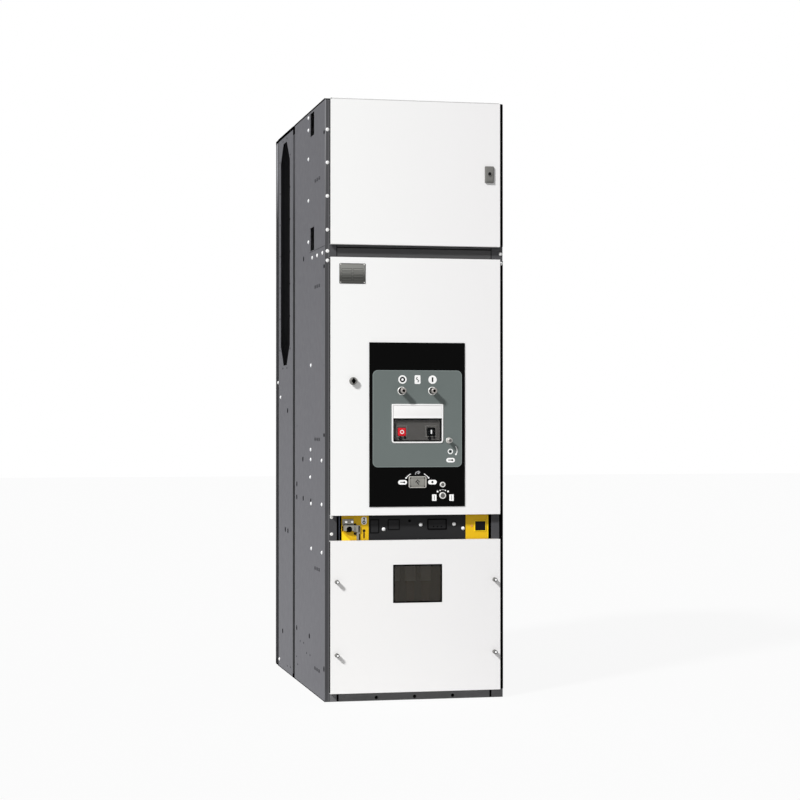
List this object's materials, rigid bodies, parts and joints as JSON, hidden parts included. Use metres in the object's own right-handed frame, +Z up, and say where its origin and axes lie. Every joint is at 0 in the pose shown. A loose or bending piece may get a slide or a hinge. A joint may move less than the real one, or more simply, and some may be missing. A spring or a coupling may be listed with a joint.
{
  "type": "switchgear cubicle",
  "caption": "Free-standing air-insulated switchgear cubicle with a hinged instrument door, a hinged breaker door with control panel, and a bolted cable cover.",
  "frame": {"origin": "centre of the floor bolt pattern, on the floor", "axes": "+Z up, the doors face -Y, +X to the right of someone facing the doors"},
  "size_m": [0.7, 1.324, 2.303],
  "materials": {
    "plinth_paint": "matt powder coat",
    "sill_paint": "matt paint",
    "inner_metal": "aluminium-zinc coated sheet",
    "post_paint": "matt powder coat",
    "side_paint": "matt powder coat",
    "joint_paint": "matt powder coat",
    "strip_paint": "matt powder coat",
    "band_paint": "matt powder coat",
    "yellow_paint": "satin paint",
    "zinc": "zinc plated",
    "black_plastic": "matt",
    "latch_grey": "satin",
    "white_paint": "satin powder coat",
    "smoked_glass": "smoked safety glass",
    "resin": "cast resin",
    "bar_sleeve": "sleeved bar",
    "breaker_paint": "satin paint",
    "fascia_plastic": "matt",
    "white_plastic": "satin",
    "panel_black": "satin",
    "mimic_grey": "satin",
    "clear_glass": "clear pane",
    "cover_metal": "brushed",
    "red_plastic": "gloss",
    "button_black": "gloss"
  },
  "bodies": {
    "cabinet": {"front_plinth": "plinth_paint", "base_sills": "sill_paint", "gland_plate": "inner_metal", "front_posts": "post_paint", "front_sides": "side_paint", "rear_sides": "side_paint", "front_rails": "post_paint", "floors": "inner_metal", "lv_back": "inner_metal", "partitions": "inner_metal", "joint_spacers": "joint_paint", "roof_plates": "side_paint", "relief_flaps": "inner_metal", "rear_corner_strips": "strip_paint", "rear_covers": "side_paint", "interlock_panel": "band_paint", "interlock_plates": "yellow_paint", "earthing_bracket": "zinc", "indicator_window": "black_plastic", "cable_cover": "white_paint", "cable_window": "smoked_glass", "cover_knobs": "zinc", "cable_insulators": "resin", "cable_bars": "bar_sleeve", "breaker_truck": "inner_metal", "breaker_housing": "breaker_paint", "breaker_fascia": "fascia_plastic", "hinge_brackets": "zinc"},
    "instrument_door": {"lv_door": "white_paint", "lv_door_knuckles": "zinc", "lv_lock": "latch_grey"},
    "breaker_door": {"cb_door": "white_paint", "cb_door_knuckles": "zinc", "cb_lock": "zinc", "control_panel": "panel_black", "mimic_plate": "mimic_grey", "viewing_frame": "white_plastic", "viewing_glass": "clear_glass", "window_plate": "white_plastic", "racking_cover": "cover_metal", "panel_locks": "zinc", "plunger_bushes": "zinc"},
    "open_plunger": {"open_plunger": "zinc"},
    "close_plunger": {"close_plunger": "zinc"},
    "off_button": {"off_button": "red_plastic"},
    "on_button": {"on_button": "button_black"}
  },
  "joints": [
    {"name": "instrument_door_hinge", "type": "hinge", "parent": "cabinet", "child": "instrument_door", "pos_m": [-0.326, -0.643, 2.02], "axis": [0, 0, -1], "range_deg": [0, 120]},
    {"name": "breaker_door_hinge", "type": "hinge", "parent": "cabinet", "child": "breaker_door", "pos_m": [0.326, -0.643, 1.2], "axis": [0, 0, 1], "range_deg": [0, 120]},
    {"name": "open_plunger_slide", "type": "slide", "parent": "breaker_door", "child": "open_plunger", "axis": [0, 1, 0], "range_m": [0, 0.018], "stiffness_N_per_m": 1200},
    {"name": "close_plunger_slide", "type": "slide", "parent": "breaker_door", "child": "close_plunger", "axis": [0, 1, 0], "range_m": [0, 0.018], "stiffness_N_per_m": 1200},
    {"name": "off_button_slide", "type": "slide", "parent": "cabinet", "child": "off_button", "axis": [0, 1, 0], "range_m": [0, 0.005], "stiffness_N_per_m": 2000},
    {"name": "on_button_slide", "type": "slide", "parent": "cabinet", "child": "on_button", "axis": [0, 1, 0], "range_m": [0, 0.005], "stiffness_N_per_m": 2000}
  ]
}
